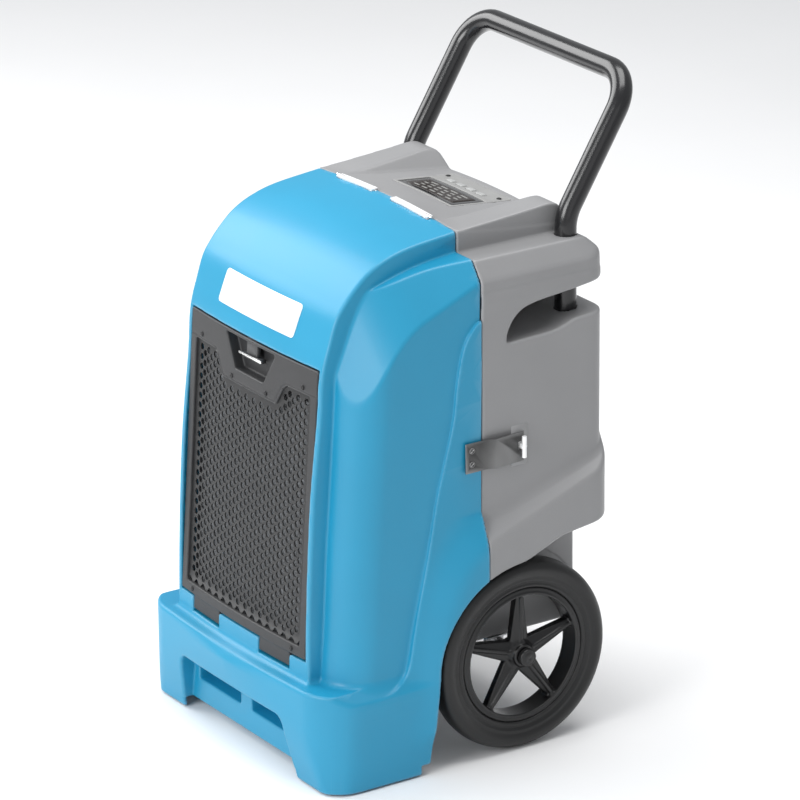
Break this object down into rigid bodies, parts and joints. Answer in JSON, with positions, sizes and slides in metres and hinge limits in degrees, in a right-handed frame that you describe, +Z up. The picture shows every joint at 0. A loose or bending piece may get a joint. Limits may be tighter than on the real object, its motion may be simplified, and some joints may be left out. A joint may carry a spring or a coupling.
{
  "type": "portable dehumidifier",
  "caption": "Wheeled commercial dehumidifier: moulded front cover and rear housing, tilting grille door, bent tube handle, side latches and top control panel.",
  "frame": {"origin": "on the floor, at the centre of the machine's outline seen from above; the parting plane of the two shells is y = 0", "axes": "+Z up, -Y the front with the air intake, X across the machine along the axle"},
  "size_m": [0.46, 0.5267, 0.8594],
  "materials": {
    "blue_shell": "satin moulded polyethylene",
    "grey_shell": "satin moulded polyethylene",
    "grille_plastic": "fine-textured nylon",
    "panel_plastic": "satin",
    "key_plastic": "satin",
    "display_black": "gloss",
    "plate_white": "gloss label stock",
    "handle_paint": "gloss black powder coat",
    "bright_steel": "polished",
    "fastener_steel": "brushed",
    "zinc_plate": "zinc plated",
    "black_screw": "black oxide",
    "black_wire": "black powder coat",
    "tyre_rubber": "satin rubber",
    "rim_plastic": "satin glass-filled nylon",
    "foot_rubber": "matt",
    "compressor_black": "gloss black enamel",
    "fin_aluminium": "mill finish",
    "copper_pipe": "drawn copper",
    "brass_fitting": "turned",
    "dark_plastic": "satin",
    "white_plastic": "satin",
    "clear_plastic": "translucent",
    "motor_blue": "satin",
    "float_orange": "foam",
    "board_green": "solder mask",
    "gland_black": "satin",
    "filter_fabric": "pleated polyester"
  },
  "bodies": {
    "chassis": {"rear_housing": "grey_shell", "chassis_base": "zinc_plate", "front_feet": "foot_rubber", "handle_tube": "handle_paint", "handle_bolts": "fastener_steel", "axle": "fastener_steel", "axle_brackets": "zinc_plate", "panel_bezel": "panel_plastic", "display_lens": "display_black", "panel_screws": "black_screw", "compressor": "compressor_black", "compressor_grommets": "foot_rubber", "accumulator": "compressor_black", "evaporator": "fin_aluminium", "condenser": "fin_aluminium", "coil_frame": "zinc_plate", "filter_drier": "copper_pipe", "discharge_line": "copper_pipe", "suction_line": "copper_pipe", "fan_shroud": "dark_plastic", "fan_motor": "compressor_black", "motor_bracket": "zinc_plate", "exhaust_grille": "black_wire", "drip_tray": "white_plastic", "pump_reservoir": "clear_plastic", "pump_motor": "motor_blue", "drain_fitting": "brass_fitting", "control_box": "zinc_plate", "circuit_board": "board_green", "run_capacitor": "fin_aluminium", "cable_gland": "gland_black", "hinge_rear_leaves": "bright_steel", "hinge_pins": "bright_steel", "stud_plates": "fastener_steel"},
    "cover": {"front_shell": "blue_shell", "hinge_front_leaves": "bright_steel", "latch_straps": "fastener_steel", "strap_rivets": "fastener_steel", "name_plate": "plate_white", "door_pins": "fastener_steel", "air_filter": "filter_fabric"},
    "grille_door": {"grille_frame": "grille_plastic", "grille_mesh": "grille_plastic", "grille_screws": "black_screw"},
    "door_bolt": {"door_latch": "bright_steel"},
    "wheel_left": {"tyre_left": "tyre_rubber", "rim_left": "rim_plastic", "hub_cap_left": "rim_plastic"},
    "wheel_right": {"tyre_right": "tyre_rubber", "rim_right": "rim_plastic", "hub_cap_right": "rim_plastic"},
    "fan": {"fan_blades": "dark_plastic"},
    "stud_left": {"turn_stud_left": "bright_steel"},
    "stud_right": {"turn_stud_right": "bright_steel"},
    "float": {"pump_float": "float_orange"},
    "button_power": {"key_power": "key_plastic"},
    "button_mode": {"key_mode": "key_plastic"},
    "button_pump": {"key_pump": "key_plastic"},
    "button_defrost": {"key_defrost": "key_plastic"}
  },
  "joints": [
    {"name": "cover_hinge", "type": "hinge", "parent": "chassis", "child": "cover", "pos_m": [0, -0.003, 0.692], "axis": [-1, 0, 0], "range_deg": [0, 75]},
    {"name": "door_tilt", "type": "hinge", "parent": "cover", "child": "grille_door", "pos_m": [0, -0.21971, 0.15461], "axis": [1, 0, 0], "range_deg": [0, 40]},
    {"name": "door_bolt_slide", "type": "slide", "parent": "grille_door", "child": "door_bolt", "axis": [0, 0.0698, 0.9976], "range_m": [-0.006, 0], "stiffness_N_per_m": 400, "springref_m": 0.004},
    {"name": "wheel_left_spin", "type": "hinge", "parent": "chassis", "child": "wheel_left", "pos_m": [-0.202, 0.058, 0.127], "axis": [1, 0, 0], "continuous": true},
    {"name": "wheel_right_spin", "type": "hinge", "parent": "chassis", "child": "wheel_right", "pos_m": [0.202, 0.058, 0.127], "axis": [1, 0, 0], "continuous": true},
    {"name": "fan_spin", "type": "hinge", "parent": "chassis", "child": "fan", "pos_m": [0, 0.14, 0.4], "axis": [0, 1, 0], "continuous": true},
    {"name": "stud_left_turn", "type": "hinge", "parent": "chassis", "child": "stud_left", "pos_m": [-0.215, 0.057, 0.411], "axis": [1, 0, 0], "range_deg": [0, 90]},
    {"name": "stud_right_turn", "type": "hinge", "parent": "chassis", "child": "stud_right", "pos_m": [0.215, 0.057, 0.411], "axis": [1, 0, 0], "range_deg": [0, 90]},
    {"name": "float_slide", "type": "slide", "parent": "chassis", "child": "float", "axis": [0, 0, 1], "range_m": [0, 0.014]},
    {"name": "button_power_press", "type": "slide", "parent": "chassis", "child": "button_power", "axis": [0, 0, -1], "range_m": [0, 0.0008], "stiffness_N_per_m": 300, "springref_m": -0.0004},
    {"name": "button_mode_press", "type": "slide", "parent": "chassis", "child": "button_mode", "axis": [0, 0, -1], "range_m": [0, 0.0008], "stiffness_N_per_m": 300, "springref_m": -0.0004},
    {"name": "button_pump_press", "type": "slide", "parent": "chassis", "child": "button_pump", "axis": [0, 0, -1], "range_m": [0, 0.0008], "stiffness_N_per_m": 300, "springref_m": -0.0004},
    {"name": "button_defrost_press", "type": "slide", "parent": "chassis", "child": "button_defrost", "axis": [0, 0, -1], "range_m": [0, 0.0008], "stiffness_N_per_m": 300, "springref_m": -0.0004}
  ]
}
